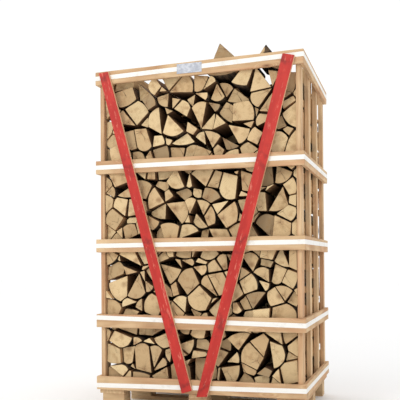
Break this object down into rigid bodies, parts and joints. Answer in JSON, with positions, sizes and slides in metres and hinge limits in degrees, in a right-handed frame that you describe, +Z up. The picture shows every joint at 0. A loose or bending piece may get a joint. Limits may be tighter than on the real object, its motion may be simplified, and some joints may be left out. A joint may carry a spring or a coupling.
{
  "type": "pallet crate of split firewood",
  "caption": "Slatted board crate on a pallet, stacked full of split firewood with the log ends in front, tied by flat bands and braced by painted boards in a V.",
  "frame": {"origin": "on the floor, under the middle of the outline", "axes": "+Z up; the face with the log ends and the painted braces is towards -Y; +X to the right of that face"},
  "size_m": [1.2026, 0.947, 2.0478],
  "materials": {
    "pine": "rough sawn softwood, bare",
    "pallet_wood": "rough sawn softwood, bare and a little greyed",
    "red_paint": "softwood painted red, worn at the edges",
    "white_band": "woven white packing band",
    "label_card": "plain pale card",
    "firewood": "split hardwood with sawn ends and some bark"
  },
  "bodies": {
    "root": {"band_bottom": "white_band", "band_lower": "white_band", "band_middle": "white_band", "band_top": "white_band", "band_upper": "white_band", "brace_left": "red_paint", "brace_right": "red_paint", "label": "label_card", "log_stack_front": "firewood", "log_stack_middle": "firewood", "log_stack_rear": "firewood", "pallet_block_front_centre": "pallet_wood", "pallet_block_front_left": "pallet_wood", "pallet_block_front_right": "pallet_wood", "pallet_block_middle_centre": "pallet_wood", "pallet_block_middle_left": "pallet_wood", "pallet_block_middle_right": "pallet_wood", "pallet_block_rear_centre": "pallet_wood", "pallet_block_rear_left": "pallet_wood", "pallet_block_rear_right": "pallet_wood", "pallet_cross_centre": "pallet_wood", "pallet_cross_left": "pallet_wood", "pallet_cross_right": "pallet_wood", "pallet_deck_1": "pallet_wood", "pallet_deck_2": "pallet_wood", "pallet_deck_3": "pallet_wood", "pallet_deck_4": "pallet_wood", "pallet_skid_front": "pallet_wood", "pallet_skid_middle": "pallet_wood", "pallet_skid_rear": "pallet_wood", "rail_bottom_front": "pine", "rail_bottom_left": "pine", "rail_bottom_rear": "pine", "rail_bottom_right": "pine", "rail_lower_front": "pine", "rail_lower_left": "pine", "rail_lower_rear": "pine", "rail_lower_right": "pine", "rail_middle_front": "pine", "rail_middle_left": "pine", "rail_middle_rear": "pine", "rail_middle_right": "pine", "rail_top_front": "pine", "rail_top_left": "pine", "rail_top_rear": "pine", "rail_top_right": "pine", "rail_upper_front": "pine", "rail_upper_left": "pine", "rail_upper_rear": "pine", "rail_upper_right": "pine", "top_log_small": "firewood", "top_log_wide": "firewood", "upright_front_corner_left": "pine", "upright_front_corner_right": "pine", "upright_front_slat_left": "pine", "upright_front_slat_right": "pine", "upright_rear_corner_left": "pine", "upright_rear_corner_right": "pine", "upright_rear_slat_left": "pine", "upright_rear_slat_right": "pine"}
  },
  "joints": []
}
